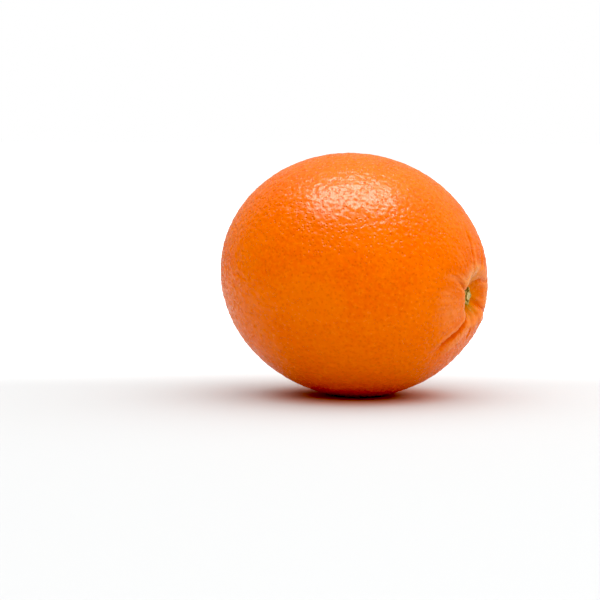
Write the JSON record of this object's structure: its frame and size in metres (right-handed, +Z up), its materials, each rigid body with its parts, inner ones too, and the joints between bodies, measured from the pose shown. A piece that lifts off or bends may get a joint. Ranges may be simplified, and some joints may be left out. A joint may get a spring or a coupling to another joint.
{
  "type": "orange",
  "caption": "Whole ripe sweet orange lying on its side, slightly longer than wide, with a furrowed stem end, a dried calyx and pebbled glossy peel.",
  "frame": {"origin": "centre of the small flat that the orange rests on, on the table surface", "axes": "+Z up; the stem axis lies in the XZ plane with the stem end towards +X, drooping 7.7 degrees below level; +Y across the fruit"},
  "size_m": [0.0826, 0.0743, 0.0739],
  "materials": {
    "peel": "satin",
    "calyx": "matte"
  },
  "bodies": {
    "root": {"fruit": "peel", "stem_button": "calyx"}
  },
  "joints": []
}
